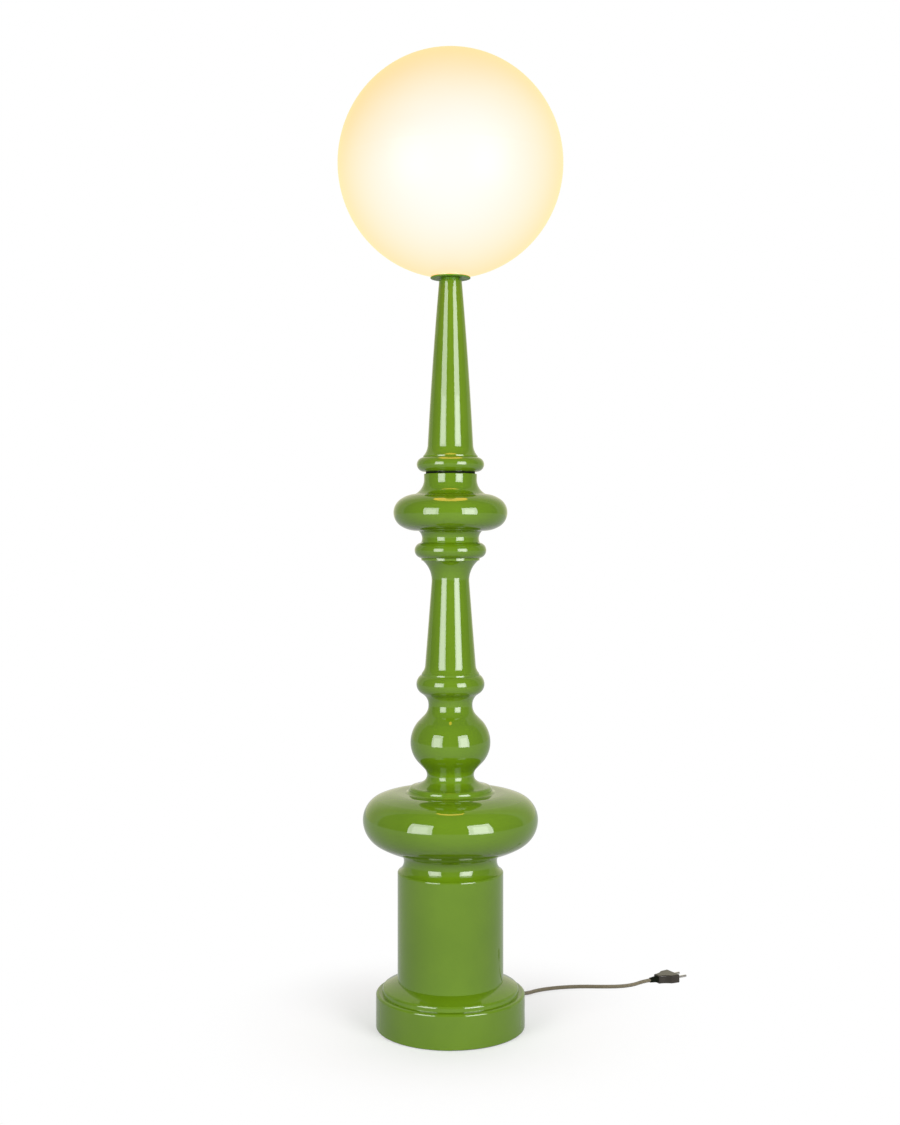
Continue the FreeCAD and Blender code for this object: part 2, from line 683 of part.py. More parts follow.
def round_bar(name, points, radius, widest=None, report=None):
    """A solid of round section along a rounded path, checked against its section times its length."""
    path = rounded_path(points, widest, report)
    start, way = Vector(*points[0]), Vector(*points[1]) - Vector(*points[0])
    section = Part.Wire([Part.Circle(start, way, radius).toShape()])
    solid = path.makePipeShell([section], True, True)
    expected = math.pi * radius ** 2 * path.Length
    if abs(solid.Volume / expected - 1) > 0.01:
        raise RuntimeError(f"{name}: volume {solid.Volume:.0f}, expected {expected:.0f}")
    if report:
        print(f"{report}: {path.Length:.0f} mm long")
    thing = doc.addObject("Part::Feature", name)
    thing.Shape = solid
    return thing


def make_leads():
    """The two insulated conductors from the terminal block up through the tube to the lampholder."""
    radius, level = 1.1, value_of("plate_level + plate_thickness") + 2.5
    leads = []
    for i, east in enumerate((-2.6, 2.6)):
        points = [(east, 40, level), (east, 0, level), (east, 0, value_of("shell_level") - 8)]
        leads.append(round_bar(f"lead_{i}", points, radius, widest=3.0))
    group("inner_leads", leads)


def make_cord():
    """The free cord: three stretches lying on the floor and the coil of what is put away, with its ties."""
    radius = value_of("cord_radius")
    for label, route in (("cord_lead", LEAD_ROUTE), ("cord_middle", MIDDLE_ROUTE), ("cord_end", END_ROUTE)):
        keep(round_bar(label + "_bar", route, radius, report=label), label)
    turned("cord_coil", [
        ("coil_inner", "coil_bevel"), ("coil_inner + coil_bevel", "0"), ("coil_outer - coil_bevel", "0"),
        ("coil_outer", "coil_bevel"), ("coil_outer", "coil_height - coil_bevel"),
        ("coil_outer - coil_bevel", "coil_height"), ("coil_inner + coil_bevel", "coil_height"),
        ("coil_inner", "coil_height - coil_bevel"),
    ], "coil_floor", "coil_east", "coil_north")
    ties = []
    span = "(coil_outer - coil_inner + 1)"
    for i, sign in enumerate(("+", "-")):
        east = f"coil_east {sign} (coil_outer + coil_inner) / 2"
        band = block(f"band_{i}", f"{span} + 2 * tie_thickness", "tie_width", "coil_height + 2 * tie_thickness",
                     east, "coil_north", "coil_floor - tie_thickness")
        inside = block(f"band_inside_{i}", span, "tie_width + 2", "coil_height + 0.1", east,
                       "coil_north", "coil_floor - 0.05")
        ties.append(cut(f"tie_{i}", band, inside))
    group("cord_ties", ties)


# ---------------------------------------------------------------------------
# Foot switch
# ---------------------------------------------------------------------------
def make_switch():
    east, north = "switch_east", "switch_north"
    inner_length, inner_width = "(switch_length - 2 * switch_wall)", "(switch_width - 2 * switch_wall)"
    halves = (
        ("switch_lower_housing", "switch_floor", "switch_seam - switch_floor", "switch_floor + switch_wall"),
        ("switch_upper_housing", "switch_seam", "switch_top - switch_seam", "switch_seam"),
    )
    for label, level, height, hollow_level in halves:
        rounded = "switch_round" if label == "switch_upper_housing" else None
        outer = slab(label + "_outer", "switch_length", "switch_width", "8", height, rounded)
        place(outer, east, north, level)
        hollow = slab(label + "_hollow", inner_length, inner_width, "6", f"{height} - switch_wall")
        place(hollow, east, north, hollow_level)
        shell = cut(label + "_shell", outer, hollow)
        if label == "switch_upper_housing":
            opening = cylinder("button_opening", "button_radius + 0.4", "switch_top", east, north,
                               "switch_seam")
            shell = cut("button_opening_cut", shell, opening)
        keep(shell, label)

    turned("switch_button", [
        ("0", "0"), ("button_radius + 1.4", "0"), ("button_radius + 1.4", "1.2"), ("button_radius", "1.2"),
        ("button_radius", "4.9", "out", "1.5"), ("button_radius - 1.5", "6.4"), ("0", "6.4"),
    ], "switch_top - 3.5", east, north)
    doc.recompute()
    coil_spring(value_of(east), value_of(north), 3.4, value_of("switch_top") - 3.6)
    contacts = [block(f"switch_contact_{i}", "6", "1", "6", f"{east} {way} 12", north,
                      "switch_floor + switch_wall") for i, way in enumerate(("-", "+"))]
    group("switch_contacts", contacts)
    screws = [cylinder(f"switch_screw_{i}", "1.6", "1.5", f"{east} {way} 19", north, "switch_top")
              for i, way in enumerate(("-", "+"))]
    group("switch_screws", screws)
    reliefs = [
        cone("entry_relief", "cord_radius + 1", "cord_radius + 2.4", "entry_length",
             f"{east} - switch_length / 2 - entry_length", north, "entry_level", "0"),
        cone("exit_relief", "cord_radius + 2.4", "cord_radius + 1", "entry_length",
             f"{east} + switch_length / 2", north, "entry_level", "0"),
    ]
    group("switch_reliefs", reliefs)


def coil_spring(east, north, radius, top):
    """The return spring under the button."""
    wire, floor = 0.45, value_of("switch_floor + switch_wall")
    height = top - floor - 2 * wire - 0.1
    helix = Part.makeHelix(height / 5, height, radius)
    section = Part.Wire([Part.Circle(Vector(radius, 0, 0), Vector(0, 1, 0), wire).toShape()])
    spring = doc.addObject("Part::Feature", "spring_wire")
    spring.Shape = Part.Wire(helix.Edges).makePipeShell([section], True, True)
    spring.Placement.Base = Vector(east, north, floor + wire + 0.05)
    keep(spring, "switch_spring")


# ---------------------------------------------------------------------------
# Plug
# ---------------------------------------------------------------------------
def make_plug():
    """A flat two-pin plug lying on the floor, along its heading from where the cord ends."""
    heading = "plug_heading"
    start = (f"plug_east + plug_relief_length * cos({heading})",
             f"plug_north + plug_relief_length * sin({heading})")
    keep(cone("plug_relief_cone", "cord_radius + 1", "cord_radius + 2.5", "plug_relief_length", "plug_east",
              "plug_north", "plug_axis_level", heading), "plug_relief")

    body = doc.addObject("PartDesign::Body", "plug_shell")
    sketch = new_sketch(body, "plug_plan", "XY_Plane")
    half, tail = "plug_width / 2", "7"
    draw_outline(sketch, [
        ("0", f"0 - {tail}", "in", "30"), ("plug_length * 0.55", f"0 - {half} + 1.5"),
        ("plug_length - 2", f"0 - {half}", "out", "2"), ("plug_length", f"2 - {half}"),
        ("plug_length", f"{half} - 2", "out", "2"), ("plug_length - 2", half),
        ("plug_length * 0.55", f"{half} - 1.5", "in", "30"), ("0", tail),
    ])
    pad = body.newObject("PartDesign::Pad", "plug_pad")
    pad.Profile = sketch
    bind(pad, Length="plug_height")
    round_over(body, pad, "plug_round", 0.0, value_of("plug_height"))
    place(body, *start, "plug_axis_level - plug_height / 2", heading)
    keep(body, "plug_body")

    pins = []
    for i, side in enumerate(("-", "+")):
        east = f"{start[0]} + plug_length * cos({heading}) {side} pin_spacing / 2 * sin({heading})"
        other = "+" if side == "-" else "-"
        north = f"{start[1]} + plug_length * sin({heading}) {other} pin_spacing / 2 * cos({heading})"
        pins.append(cylinder(f"pin_{i}", "pin_radius", "pin_length", east, north, "plug_axis_level",
                             "ahead", heading))
    group("plug_pins", pins)


# ---------------------------------------------------------------------------
# Build, check and write
# ---------------------------------------------------------------------------
def check():
    for thing in doc.Objects:
        if "Invalid" in thing.State or "Error" in thing.State:
            raise RuntimeError(f"{thing.Label}: {thing.State}")
    for thing in subparts:
        if thing.Shape.isNull() or not thing.Shape.isValid() or not thing.Shape.Solids:
            raise RuntimeError(f"{thing.Label}: bad shape")


def write():
    os.makedirs("parts", exist_ok=True)
    for thing in subparts:
        thing.Shape.exportStep(f"parts/{thing.Label}.step")
        box = thing.Shape.BoundBox
        print(f"{thing.Label}: {len(thing.Shape.Solids)} solid(s), z {box.ZMin:.1f} to {box.ZMax:.1f}")


def main():
    fill_sheet()
    make_plinth()
    make_pedestal()
    make_torus()
    make_ball()
    make_shaft()
    make_cushion()
    make_spire()
    make_joints()
    make_structure()
    make_seat()
    make_globe()
    make_lampholder()
    make_bulb()
    make_gland()
    make_wiring()
    make_leads()
    make_cord()
    make_switch()
    make_plug()
    doc.recompute()
    check()
    write()


main()
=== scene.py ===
"""Turned column floor lamp: glossy green glaze, a lit opal globe and a textile cord, in a pale studio."""

import json
import math

import bmesh
import bpy
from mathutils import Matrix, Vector


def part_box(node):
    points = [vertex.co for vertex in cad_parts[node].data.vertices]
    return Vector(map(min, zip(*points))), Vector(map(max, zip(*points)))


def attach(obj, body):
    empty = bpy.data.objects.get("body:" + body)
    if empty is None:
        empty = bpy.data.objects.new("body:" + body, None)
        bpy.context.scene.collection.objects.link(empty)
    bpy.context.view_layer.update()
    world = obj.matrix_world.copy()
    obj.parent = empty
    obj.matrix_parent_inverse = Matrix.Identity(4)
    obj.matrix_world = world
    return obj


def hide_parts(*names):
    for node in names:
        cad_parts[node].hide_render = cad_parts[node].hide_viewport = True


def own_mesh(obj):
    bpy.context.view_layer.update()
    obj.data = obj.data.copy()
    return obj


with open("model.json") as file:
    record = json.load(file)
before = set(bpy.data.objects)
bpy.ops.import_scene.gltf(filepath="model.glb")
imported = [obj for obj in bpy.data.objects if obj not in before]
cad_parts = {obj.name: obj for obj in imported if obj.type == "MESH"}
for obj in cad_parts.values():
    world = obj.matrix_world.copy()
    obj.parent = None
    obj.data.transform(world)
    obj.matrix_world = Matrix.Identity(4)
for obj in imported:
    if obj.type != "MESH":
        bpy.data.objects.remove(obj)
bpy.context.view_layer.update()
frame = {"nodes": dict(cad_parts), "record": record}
scene = bpy.context.scene
scene.view_settings.view_transform = "Standard"
globe_low, globe_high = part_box("globe")
GLOBE_RADIUS = (globe_high.x - globe_low.x) / 2
GLOBE_CENTRE = (globe_low + globe_high) / 2
GLOBE_CENTRE.z = globe_high.z - GLOBE_RADIUS


# ---------------------------------------------------------------------------
# Camera
# ---------------------------------------------------------------------------
def make_camera():
    """About level with the lamp's middle and straight in front of it."""
    settings = bpy.data.cameras.new("camera")
    settings.sensor_width = 36
    settings.lens = 47.1
    settings.shift_x = -0.0004
    settings.shift_y = -0.0289
    camera = bpy.data.objects.new("camera", settings)
    camera.location = (0.0, -2.287, 0.770)
    camera.rotation_euler = (math.radians(90), 0, 0)
    scene.collection.objects.link(camera)
    scene.camera = camera


def to_object(name, mesh):
    """An object in the scene from a finished bmesh."""
    data = bpy.data.meshes.new(name)
    mesh.to_mesh(data)
    mesh.free()
    made = bpy.data.objects.new(name, data)
    scene.collection.objects.link(made)
    return made


# ---------------------------------------------------------------------------
# Cord: its route over the floor, with the put-away coil in the middle
# ---------------------------------------------------------------------------
CORD_RADIUS = 0.003
LEAD = [
    (0, 0.145, 0.020), (0, 0.160, 0.020), (-0.001, 0.178, 0.013), (-0.009, 0.197, 0.0062),
    (-0.0266, 0.2122, 0.0043), (-0.0450, 0.2172, 0.0043),
]
MIDDLE = [
    (-0.041, 0.1333, 0.0094), (-0.025, 0.1344, 0.0052), (-0.011, 0.138, 0.0042), (0.002, 0.140, 0.006),
    (0.014, 0.140, 0.006), (0.026, 0.140, 0.006), (0.054, 0.140, 0.006), (0.082, 0.140, 0.006),
]
END = [
    (0.094, 0.140, 0.006), (0.106, 0.140, 0.006), (0.118, 0.1432, 0.0046), (0.129, 0.1508, 0.0032),
    (0.147, 0.167, 0.0031), (0.180, 0.1805, 0.0031), (0.218, 0.1865, 0.0031), (0.258, 0.1845, 0.0031),
    (0.289, 0.1865, 0.0031), (0.309, 0.1918, 0.0044), (0.32576, 0.20021, 0.0072), (0.338, 0.207, 0.0072),
]
COIL_CENTRE = (-0.056, 0.176)
COIL_INNER, COIL_OUTER = 0.0243, 0.0426
COIL_LAYERS = (0.0043, 0.0104)
COIL_TURNS = 6.5
TIE_WIDTH = 0.010
TIE_CLEARANCE, TIE_THICKNESS = 0.0001, 0.0009


def coil_points():
    """Turns from the outside in on the lower layer, then from the inside out on the upper one."""
    per_turn, lower_turns = 16, 3.0
    start, finish = math.radians(90), math.radians(90 + 360 * COIL_TURNS)
    steps = round(COIL_TURNS * per_turn)
    half = lower_turns * 2 * math.pi
    rest = math.radians(40)                # how far the innermost turn goes on before it starts outwards
    climb_before, climb_whole = math.radians(60), math.radians(120)
    shrink = math.cos(math.pi / per_turn)  # the smooth line runs inside its control points by this factor
    points = []
    for i in range(1, steps + 1):
        angle = start + (finish - start) * i / steps
        gone = angle - start
        inward = min(gone / half, 1.0)
        outward = max(0.0, gone - half - rest) / (finish - start - half - rest)
        radius = COIL_OUTER + (COIL_INNER - COIL_OUTER) * (inward - outward)
        climb = min(max((gone - half + climb_before) / climb_whole, 0.0), 1.0)
        climb = climb * climb * (3 - 2 * climb)
        level = COIL_LAYERS[0] + (COIL_LAYERS[1] - COIL_LAYERS[0]) * climb
        points.append((COIL_CENTRE[0] + radius / shrink * math.cos(angle),
                       COIL_CENTRE[1] + radius / shrink * math.sin(angle), level))
    return points


def spline_line(points):
    """The smooth NURBS line through a route's control points, as points in order."""
    curve = bpy.data.curves.new("cord_route", "CURVE")
    curve.dimensions = "3D"
    curve.resolution_u = 12
    spline = curve.splines.new("NURBS")
    spline.points.add(len(points) - 1)
    for point, place in zip(spline.points, points):
        point.co = (*place, 1.0)
    spline.order_u = 3
    spline.use_endpoint_u = True
    guide = bpy.data.objects.new("cord_route", curve)
    scene.collection.objects.link(guide)
    bpy.context.view_layer.update()
    line = bpy.data.meshes.new_from_object(guide)
    places = [v.co.copy() for v in line.vertices]
    bpy.data.objects.remove(guide)
    return places


def even_steps(places, step):
    """The same line with points a fixed step apart, and its length."""
    total = sum((b - a).length for a, b in zip(places, places[1:]))
    count = round(total / step)
    spacing = total / count
    even, gone, wanted = [places[0]], 0.0, spacing
    for a, b in zip(places, places[1:]):
        run = (b - a).length
        while run > 0 and gone + run >= wanted - 1e-9 and len(even) < count:
            even.append(a.lerp(b, (wanted - gone) / run))
            wanted += spacing
        gone += run
    even.append(places[-1])
    return even, total


def tube(name, places, radius, sides=16):
    """A closed tube along a line, with metres of length and turns round the cord as its UV map."""
    mesh = bmesh.new()
    layer = mesh.loops.layers.uv.new("UVMap")
    along = (places[1] - places[0]).normalized()
    side = along.orthogonal().normalized()
    rings = []
    for i, place in enumerate(places):
        ahead = (places[min(i + 1, len(places) - 1)] - places[max(i - 1, 0)]).normalized()
        side = (side - ahead * side.dot(ahead)).normalized()
        other = ahead.cross(side)
        rings.append([
            mesh.verts.new(place + (side * math.cos(a) + other * math.sin(a)) * radius)
            for a in (2 * math.pi * k / sides for k in range(sides))
        ])
    gone = 0.0
    for i, (first, second) in enumerate(zip(rings, rings[1:])):
        run = (places[i + 1] - places[i]).length
        for k in range(sides):
            face = mesh.faces.new((first[k], first[(k + 1) % sides], second[(k + 1) % sides], second[k]))
            face.smooth = True
            corners = ((gone, k), (gone, k + 1), (gone + run, k + 1), (gone + run, k))
            for loop, (length, turn) in zip(face.loops, corners):
                loop[layer].uv = (length, turn / sides)
        gone += run
    mesh.faces.new(list(reversed(rings[0])))
    mesh.faces.new(rings[-1])
    return to_object(name, mesh)


def make_tie(places, angle):
    """A flat strap drawn snugly round all the turns on one side of the coil."""
    out = Vector((math.cos(angle), math.sin(angle), 0))
    across = Vector((-out.y, out.x, 0))
    centre = Vector((*COIL_CENTRE, 0))
    reach_of_coil = COIL_OUTER + CORD_RADIUS
    held = [p for p in (place - centre for place in places)
            if abs(p.dot(across)) < TIE_WIDTH / 2 and 0 < p.dot(out) < reach_of_coil]
    near, far = min(p.dot(out) for p in held), max(p.dot(out) for p in held)
    low, high = min(p.z for p in held), max(p.z for p in held)
    corners = ((far, high, 0), (near, high, 90), (near, low, 180), (far, low, 270))
    inner = CORD_RADIUS + TIE_CLEARANCE
    outer = inner + TIE_THICKNESS
    edge = TIE_WIDTH / 2
    section = ((inner, -edge), (inner, edge), (outer, edge), (outer, -edge))
    steps = 6                              # flat faces round each quarter-round corner
    mesh = bmesh.new()
    bands = []
    for flat, level, first in corners:
        for step in range(steps + 1):
            turn = math.radians(first + 90 / steps * step)
            bands.append([
                mesh.verts.new(centre + out * (flat + reach * math.cos(turn)) + across * side
                               + Vector((0, 0, level + reach * math.sin(turn))))
                for reach, side in section
            ])
    for first, second in zip(bands, bands[1:] + bands[:1]):
        for k in range(4):
            mesh.faces.new((first[k], second[k], second[(k + 1) % 4], first[(k + 1) % 4]))
    bmesh.ops.recalc_face_normals(mesh, faces=mesh.faces)
    tie = to_object("coil_tie", mesh)
    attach(tie, "base")
    return tie


def make_spring():
    """The foot switch's return spring, which in the real switch shortens as the button goes down; here it is
    fixed to the base at its resting length.
    """
    east, north, foot = 0.054, 0.140, 0.0023
    radius, wire, rise, travel = 0.0034, 0.00045, 0.0131, 0.0025
    first_level = foot + 0.0005            # the wire's centre at its lowest
    turns, steps = 5, 80
    places = []
    for i in range(steps + 1):
        angle = 2 * math.pi * turns * i / steps
        places.append(Vector((east + radius * math.cos(angle), north + radius * math.sin(angle),
                              first_level + rise * i / steps)))
    spring = tube("return_spring", places, wire, sides=8)
    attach(spring, "base")
    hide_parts("switch_spring")
    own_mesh(spring)
    return spring


def make_cord():
    """The whole cord as one tube, with its two ties; spring is inside the switch, which lies on the cord."""
    line = spline_line(LEAD + coil_points() + MIDDLE + END)
    places, total = even_steps(line, step=0.0015)
    ties = [make_tie(places, math.radians(angle)) for angle in (0, 180)]
    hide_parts("cord_ties")
    cord = tube("textile_cord", places, CORD_RADIUS)
    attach(cord, "base")
    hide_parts("cord_lead", "cord_coil", "cord_middle", "cord_end")
    return cord, ties


# ---------------------------------------------------------------------------
# Node materials
# ---------------------------------------------------------------------------
class Nodes:
    """A small writer of node graphs: every method adds nodes and gives back a socket."""

    def __init__(self, name, owner=None):
        self.owner = owner or bpy.data.materials.new(name)
        self.owner.use_nodes = True
        self.tree = self.owner.node_tree
        self.tree.nodes.clear()

    def new(self, kind, **settings):
        node = self.tree.nodes.new("ShaderNode" + kind)
        for key, value in settings.items():
            setattr(node, key, value)
        return node

    def put(self, socket, value):
        if isinstance(value, bpy.types.NodeSocket):
            self.tree.links.new(value, socket)
        elif isinstance(value, tuple) and len(value) == 3 and socket.type == "RGBA":
            socket.default_value = (*value, 1.0)
        else:
            socket.default_value = value

    def place(self):
        return self.new("TexCoord").outputs["Object"]

    def noise(self, scale, detail=3.0, rough=0.5, stretch=None):
        """Noise in the object's own space, which stretch can draw out along an axis."""
        vector = self.place()
        if stretch:
            shape = self.new("Mapping")
            self.put(shape.inputs["Vector"], vector)
            shape.inputs["Scale"].default_value = stretch
            vector = shape.outputs["Vector"]
        node = self.new("TexNoise")
        self.put(node.inputs["Vector"], vector)
        for key, value in (("Scale", scale), ("Detail", detail), ("Roughness", rough)):
            node.inputs[key].default_value = value
        return node.outputs["Fac"]

    def math(self, operation, a, b=0.0):
        node = self.new("Math", operation=operation)
        for socket, value in zip(node.inputs, (a, b)):
            self.put(socket, value)
        return node.outputs[0]

    def between(self, value, low, high, to_low=0.0, to_high=1.0):
        """A value that eases from to_low to to_high as another goes from low to high."""
        node = self.new("MapRange", interpolation_type="SMOOTHSTEP")
        for socket, number in zip(node.inputs, (value, low, high, to_low, to_high)):
            self.put(socket, number)
        return node.outputs[0]

    def ramp(self, value, first, second):
        """A colour between two, by a value from 0 to 1."""
        node = self.new("Mix", data_type="RGBA")
        self.put(node.inputs["Factor"], value)
        self.put(node.inputs["A"], first)
        self.put(node.inputs["B"], second)
        return node.outputs["Result"]

    def bump(self, height, depth, strength, normal=None):
        node = self.new("Bump")
        self.put(node.inputs["Height"], height)
        node.inputs["Distance"].default_value = depth
        node.inputs["Strength"].default_value = strength
        if normal:
            self.put(node.inputs["Normal"], normal)
        return node.outputs["Normal"]

    def mixed(self, share, first, second):
        """One shader turning into another."""
        node = self.new("MixShader")
        for socket, value in zip(node.inputs, (share, first, second)):
            self.put(socket, value)
        return node.outputs[0]

    def by_ray(self, output, gloss, seen, matt):
        """For the studio: what shows in the gloss, what the eye sees and what lights the matt colour."""
        ray = self.new("LightPath")
        clear = self.mixed(ray.outputs["Is Camera Ray"], gloss, seen)
        self.put(self.new(output).inputs["Surface"], self.mixed(ray.outputs["Is Diffuse Ray"], clear, matt))

    def soft_edges(self, radius):
        node = self.new("Bevel", samples=4)
        node.inputs["Radius"].default_value = radius
        return node.outputs["Normal"]

    def surface(self, **sockets):
        """A Principled surface, with its sockets named in words joined by underscores."""
        shader = self.new("BsdfPrincipled")
        for key, value in sockets.items():
            self.put(shader.inputs[key.replace("_", " ")], value)
        out = self.new("OutputMaterial")
        self.put(out.inputs["Surface"], shader.outputs[0])
        return self.owner


def glaze():
    """Green glaze under a clear coat: a little deeper where it pooled, with specks, faint rings and peel."""
    n = Nodes("green_glaze")
    pooled = n.noise(9.0, 4.0, 0.55)
    speck = n.between(n.noise(420.0, 2.0, 0.6), 0.66, 0.74)
    body = n.ramp(n.between(pooled, 0.32, 0.68), (0.099, 0.190, 0.0028), (0.113, 0.212, 0.0042))
    colour = n.ramp(n.math("MULTIPLY", speck, 0.2), body, (0.05, 0.11, 0.002))
    rings = n.noise(1.0, 3.0, 0.6, stretch=(2.0, 2.0, 260.0))
    peel = n.noise(95.0, 2.0, 0.5)
    slow = n.noise(16.0, 2.0, 0.5)
    normal = n.bump(slow, 0.0002, 0.5, n.bump(peel, 0.00002, 0.5, n.bump(rings, 0.00001, 0.5)))
    return n.surface(Base_Color=colour, Roughness=0.22, Normal=normal, Coat_Normal=normal,
                     Specular_IOR_Level=0.0, Coat_Weight=1.0, Coat_Roughness=0.012, Coat_IOR=1.6)


def enamel():
    """Satin green paint on the thin disc and the washer under the globe."""
    n = Nodes("green_paint")
    tone = n.between(n.noise(60.0, 3.0), 0.35, 0.65)
    colour = n.ramp(tone, (0.085, 0.215, 0.006), (0.105, 0.245, 0.008))
    normal = n.bump(n.noise(600.0, 2.0), 0.0001, 0.4)
    return n.surface(Base_Color=colour, Roughness=n.between(tone, 0.0, 1.0, 0.38, 0.46), Normal=normal,
                     Specular_IOR_Level=0.3)


def opal():
    """Lit opal glass: its own light is filtered by a clear warm skin, so that it warms towards the limb."""
    n = Nodes("opal_glass")
    upward, sideways = 0.97, -0.25         # the glow warms towards the globe's top, a little to the left
    away = n.new("VectorMath", operation="DOT_PRODUCT")
    n.put(away.inputs[0], n.place())
    away.inputs[1].default_value = (sideways, 0.0, upward)
    height = n.math("SUBTRACT", away.outputs["Value"], upward * GLOBE_CENTRE.z - GLOBE_RADIUS)
    cloud = n.between(n.noise(7.0, 3.0, 0.5), 0.3, 0.7, -0.03, 0.03)
    share = n.math("ADD", n.math("DIVIDE", height, 2 * GLOBE_RADIUS), cloud)
    glow = n.ramp(n.between(share, 0.45, 1.0), (2.4, 1.29, 2.66), (2.4, 1.13, 1.92))
    normal = n.bump(n.noise(30.0, 2.0, 0.5), 0.0004, 0.3)
    return n.surface(Base_Color=(0.03, 0.028, 0.025), Roughness=0.35, Specular_IOR_Level=0.1,
                     Coat_Weight=1.0, Coat_Roughness=0.35, Coat_IOR=1.2, Coat_Tint=(1.0, 0.76, 0.36),
                     Emission_Color=glow, Emission_Strength=1.0, Normal=normal)


def lit_dome():
    """The bulb's lit dome."""
    n = Nodes("bulb_opal")
    glow = n.ramp(n.noise(40.0, 2.0), (1.0, 0.86, 0.62), (1.0, 0.90, 0.70))
    return n.surface(Base_Color=(0.9, 0.88, 0.82), Roughness=0.4, Emission_Color=glow, Emission_Strength=6.0)


def textile():
    """Two-tone braid: strands cross round the cord, taupe over olive brown, with a fuzzy sheen."""
    n = Nodes("textile_cord")
    crossings_per_metre, strands_around = 260.0, 6.0
    uv = n.new("SeparateXYZ")
    n.put(uv.inputs[0], n.new("TexCoord").outputs["UV"])
    along = n.math("MULTIPLY", uv.outputs["X"], crossings_per_metre)
    around = n.math("MULTIPLY", uv.outputs["Y"], strands_around)
    left = n.math("SINE", n.math("MULTIPLY", n.math("ADD", along, around), 2 * math.pi))
    right = n.math("SINE", n.math("MULTIPLY", n.math("SUBTRACT", along, around), 2 * math.pi))
    over = n.between(n.math("MULTIPLY", left, right), -0.25, 0.25)
    fuzz = n.noise(2600.0, 2.0, 0.6)
    taupe = n.ramp(fuzz, (0.20, 0.165, 0.105), (0.34, 0.29, 0.20))
    olive = n.ramp(fuzz, (0.075, 0.066, 0.036), (0.135, 0.118, 0.068))
    colour = n.ramp(over, olive, taupe)
    height = n.math("ADD", n.math("MAXIMUM", left, right), n.math("MULTIPLY", fuzz, 0.5))
    return n.surface(Base_Color=colour, Roughness=0.85, Normal=n.bump(height, 0.0003, 0.8),
                     Sheen_Weight=0.35, Sheen_Roughness=0.5, Specular_IOR_Level=0.2)


def moulded(name, dark, light, rough, grain=900.0, **more):
    """Plastic, rubber, ceramic or coated metal with a fine grain and slightly rounded edges."""
    n = Nodes(name)
    grains = n.noise(grain, 2.0, 0.6)
    colour = n.ramp(n.between(n.noise(35.0, 3.0), 0.3, 0.7), dark, light)
    normal = n.bump(grains, 0.00006, 0.6, n.soft_edges(0.0006))
    return n.surface(Base_Color=colour, Roughness=n.between(grains, 0.2, 0.8, rough - 0.05, rough + 0.08),
                     Normal=normal, **more)


def metal(name, dark, light, rough, lines=(1.0, 1.0, 40.0)):
    """Bare or plated metal with drawn or turned lines."""
    n = Nodes(name)
    drawn = n.noise(70.0, 3.0, 0.6, stretch=lines)
    tarnish = n.between(n.noise(45.0, 4.0), 0.3, 0.7)
    colour = n.ramp(tarnish, dark, light)
    normal = n.bump(drawn, 0.00004, 0.6, n.soft_edges(0.0004))
    return n.surface(Base_Color=colour, Metallic=1.0, Normal=normal,
                     Roughness=n.between(drawn, 0.2, 0.8, rough - 0.06, rough + 0.1))


def felt():
    """Dark pressed felt."""
    n = Nodes("felt")
    fibre = n.noise(900.0, 4.0, 0.7)
    colour = n.ramp(fibre, (0.03, 0.03, 0.028), (0.09, 0.088, 0.08))
    return n.surface(Base_Color=colour, Roughness=0.95, Sheen_Weight=0.5,
                     Normal=n.bump(fibre, 0.0006, 0.8))


def strap():
    """Woven hook-and-loop strap."""
    n = Nodes("tie_strap")
    weave = n.math("MULTIPLY", n.noise(700.0, 2.0, stretch=(1.0, 4.0, 1.0)),
                   n.noise(700.0, 2.0, stretch=(4.0, 1.0, 4.0)))
    colour = n.ramp(n.between(weave, 0.1, 0.4), (0.012, 0.011, 0.010), (0.06, 0.055, 0.048))
    return n.surface(Base_Color=colour, Roughness=0.9, Sheen_Weight=0.4,
                     Normal=n.bump(weave, 0.0004, 0.8, n.soft_edges(0.0008)))


def make_materials():
    white = ((0.74, 0.73, 0.70), (0.80, 0.79, 0.76))
    return {
        "green_glaze": glaze(),
        "green_paint": enamel(),
        "opal_glass": opal(),
        "bulb_opal": lit_dome(),
        "textile_cord": textile(),
        "felt": felt(),
        "tie_strap": strap(),
        # Near-black with a green tint and almost no gloss: the rubber's own colour, and also painted shade
        # standing in for the shadow in the joint groove that the gasket fills.
        "dark_rubber": moulded("dark_rubber", (0.004, 0.006, 0.003), (0.009, 0.012, 0.006), 0.62,
                               Specular_IOR_Level=0.05),
        # Painted glow: the gasket gets its own warm light, standing in for the globe's light shining through
        # it.
        "clear_silicone": moulded("clear_silicone", (0.42, 0.34, 0.20), (0.50, 0.41, 0.25), 0.35,
                                  Emission_Color=(1.0, 0.62, 0.24), Emission_Strength=0.45),
        "white_plastic": moulded("white_plastic", *white, 0.42),
        "dark_plastic": moulded("dark_plastic", (0.020, 0.016, 0.011), (0.030, 0.024, 0.017), 0.30),
        "white_metal": moulded("white_metal", *white, 0.30, grain=500.0),
        "steatite": moulded("steatite", (0.72, 0.69, 0.60), (0.80, 0.77, 0.70), 0.6),
        "lead_insulation": moulded("lead_insulation", (0.28, 0.035, 0.012), (0.36, 0.05, 0.02), 0.5),
        "ballast_iron": metal("ballast_iron", (0.05, 0.05, 0.05), (0.11, 0.10, 0.10), 0.6, (3.0, 3.0, 3.0)),
        "zinc_steel": metal("zinc_steel", (0.50, 0.50, 0.49), (0.62, 0.62, 0.60), 0.34),
        "brass": metal("brass", (0.62, 0.42, 0.14), (0.76, 0.55, 0.22), 0.28),
        "nickel": metal("nickel", (0.62, 0.60, 0.56), (0.72, 0.70, 0.66), 0.22),
    }


def dress(materials):
    """Every CAD node gets the material that its slot in the record names."""
    for part in frame["record"]["subparts"]:
        data = frame["nodes"][part["node"]].data
        data.materials.clear()
        data.materials.append(materials[part["material_slot"]])


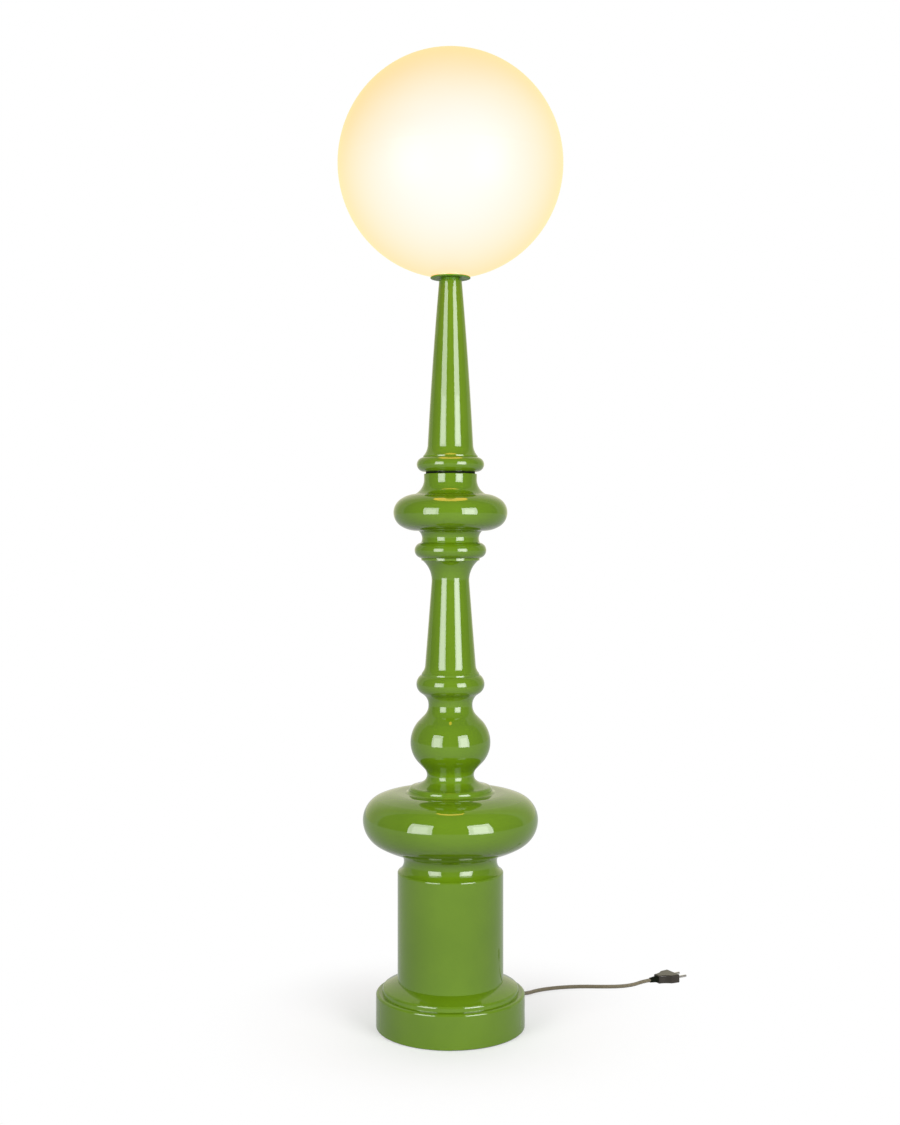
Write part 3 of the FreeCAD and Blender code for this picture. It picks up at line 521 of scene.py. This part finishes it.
# ---------------------------------------------------------------------------
# Studio
# ---------------------------------------------------------------------------
def make_floor():
    """A pale floor, matt by the lamp and evenly bright further out, so that it has no visible end."""
    mesh = bmesh.new()
    bmesh.ops.create_circle(mesh, cap_ends=True, segments=96, radius=9.0)
    floor = to_object("studio_floor", mesh)
    n = Nodes("studio_floor")
    distance = n.new("VectorMath", operation="LENGTH")
    n.put(distance.inputs[0], n.place())
    far = n.between(distance.outputs["Value"], 0.10, 0.42, 0.42, 1.0)
    skins = []                             # in the gloss, to the eye and for matt light, as by_ray takes them
    for paleness, glow in ((0.62, 0.66), (0.95, 1.0), (0.12, 0.08)):
        matt = n.new("BsdfDiffuse")
        matt.inputs["Color"].default_value = (paleness, paleness, paleness, 1.0)
        bright = n.new("Emission")
        bright.inputs["Strength"].default_value = glow
        skins.append(n.mixed(far, matt.outputs[0], bright.outputs[0]))
    n.by_ray("OutputMaterial", *skins)
    floor.data.materials.append(n.owner)


def make_world():
    """White to the eye; in gloss and matt light a bright sweep behind the lamp and a dim room in front."""
    world = bpy.data.worlds.new("studio")
    scene.world = world
    n = Nodes("studio", world)
    way = n.new("SeparateXYZ")
    n.put(way.inputs[0], n.new("TexCoord").outputs["Generated"])
    flat = n.math("SQRT", n.math("ADD", n.math("POWER", way.outputs["X"], 2.0),
                                 n.math("POWER", way.outputs["Y"], 2.0)))
    behind = n.math("DIVIDE", way.outputs["Y"], n.math("MAXIMUM", flat, 0.001))
    sweep = n.math("ADD", n.between(behind, 0.27, 0.35, 0.0, 0.6), n.between(behind, 0.6, 1.0, 0.0, 0.35))
    white = (1.0, 1.0, 1.0)
    tone = n.ramp(n.between(behind, 0.27, 0.6), white, (1.0, 0.96, 0.76))
    gloss_strength = n.math("MAXIMUM", sweep, 0.25)
    matt_strength = n.math("MULTIPLY", n.math("MAXIMUM", sweep, 0.12), 1.2)
    skies = []
    for colour, strength in ((tone, gloss_strength), (white, 1.0), (white, matt_strength)):
        sky = n.new("Background")
        n.put(sky.inputs["Color"], colour)
        n.put(sky.inputs["Strength"], strength)
        skies.append(sky.outputs[0])
    n.by_ray("OutputWorld", *skies)


def softbox(name, azimuth, distance, level, width, height, radiance):
    """A white area light facing the column, at an azimuth from the camera's side, positive towards +X."""
    lamp = bpy.data.lights.new(name, "AREA")
    lamp.shape = "RECTANGLE"
    lamp.size, lamp.size_y = width, height
    lamp.energy = radiance * math.pi * width * height
    box = bpy.data.objects.new(name, lamp)
    angle = math.radians(azimuth)
    box.location = (distance * math.sin(angle), -distance * math.cos(angle), level)
    box.rotation_euler = (Vector((0, 0, level)) - box.location).to_track_quat("-Z", "Y").to_euler()
    scene.collection.objects.link(box)


def make_softboxes():
    """One tall softbox on each side, with a smaller one that adds light a little below its middle."""
    for side, azimuth, radiance in (("left", -39.0, 6.2), ("right", 39.0, 7.6)):
        softbox(f"softbox_{side}", azimuth, distance=2.6, level=1.07, width=1.495, height=1.96,
                radiance=radiance)
        softbox(f"softbox_{side}_core", azimuth, distance=2.57, level=0.89, width=0.91, height=1.235,
                radiance=0.3 * radiance)


def make_globe_light():
    """The amber image of the globe in the glaze; it doesn't light the globe or what the globe rests on."""
    halo = bpy.data.lights.new("globe_light", "POINT")
    halo.shadow_soft_size = GLOBE_RADIUS + 0.0015
    halo.energy = 6.0
    halo.use_soft_falloff = False
    halo.color = (1.0, 0.62, 0.04)
    lamp = bpy.data.objects.new("globe_light", halo)
    lamp.location = GLOBE_CENTRE
    scene.collection.objects.link(lamp)
    lamp.visible_diffuse = False
    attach(lamp, "globe")
    left_out = bpy.data.collections.new("globe_light_receivers")
    for i, name in enumerate(("globe", "glass_gasket", "seat_disc", "neck_washer", "globe_gallery")):
        left_out.objects.link(frame["nodes"][name])
        left_out.collection_objects[i].light_linking.link_state = "EXCLUDE"
    lamp.light_linking.receiver_collection = left_out


make_camera()
spring = make_spring()
cord, ties = make_cord()
materials = make_materials()
spring.data.materials.append(materials["zinc_steel"])
cord.data.materials.append(materials["textile_cord"])
for tie in ties:
    tie.data.materials.append(materials["tie_strap"])
dress(materials)
make_floor()
make_world()
make_softboxes()
make_globe_light()
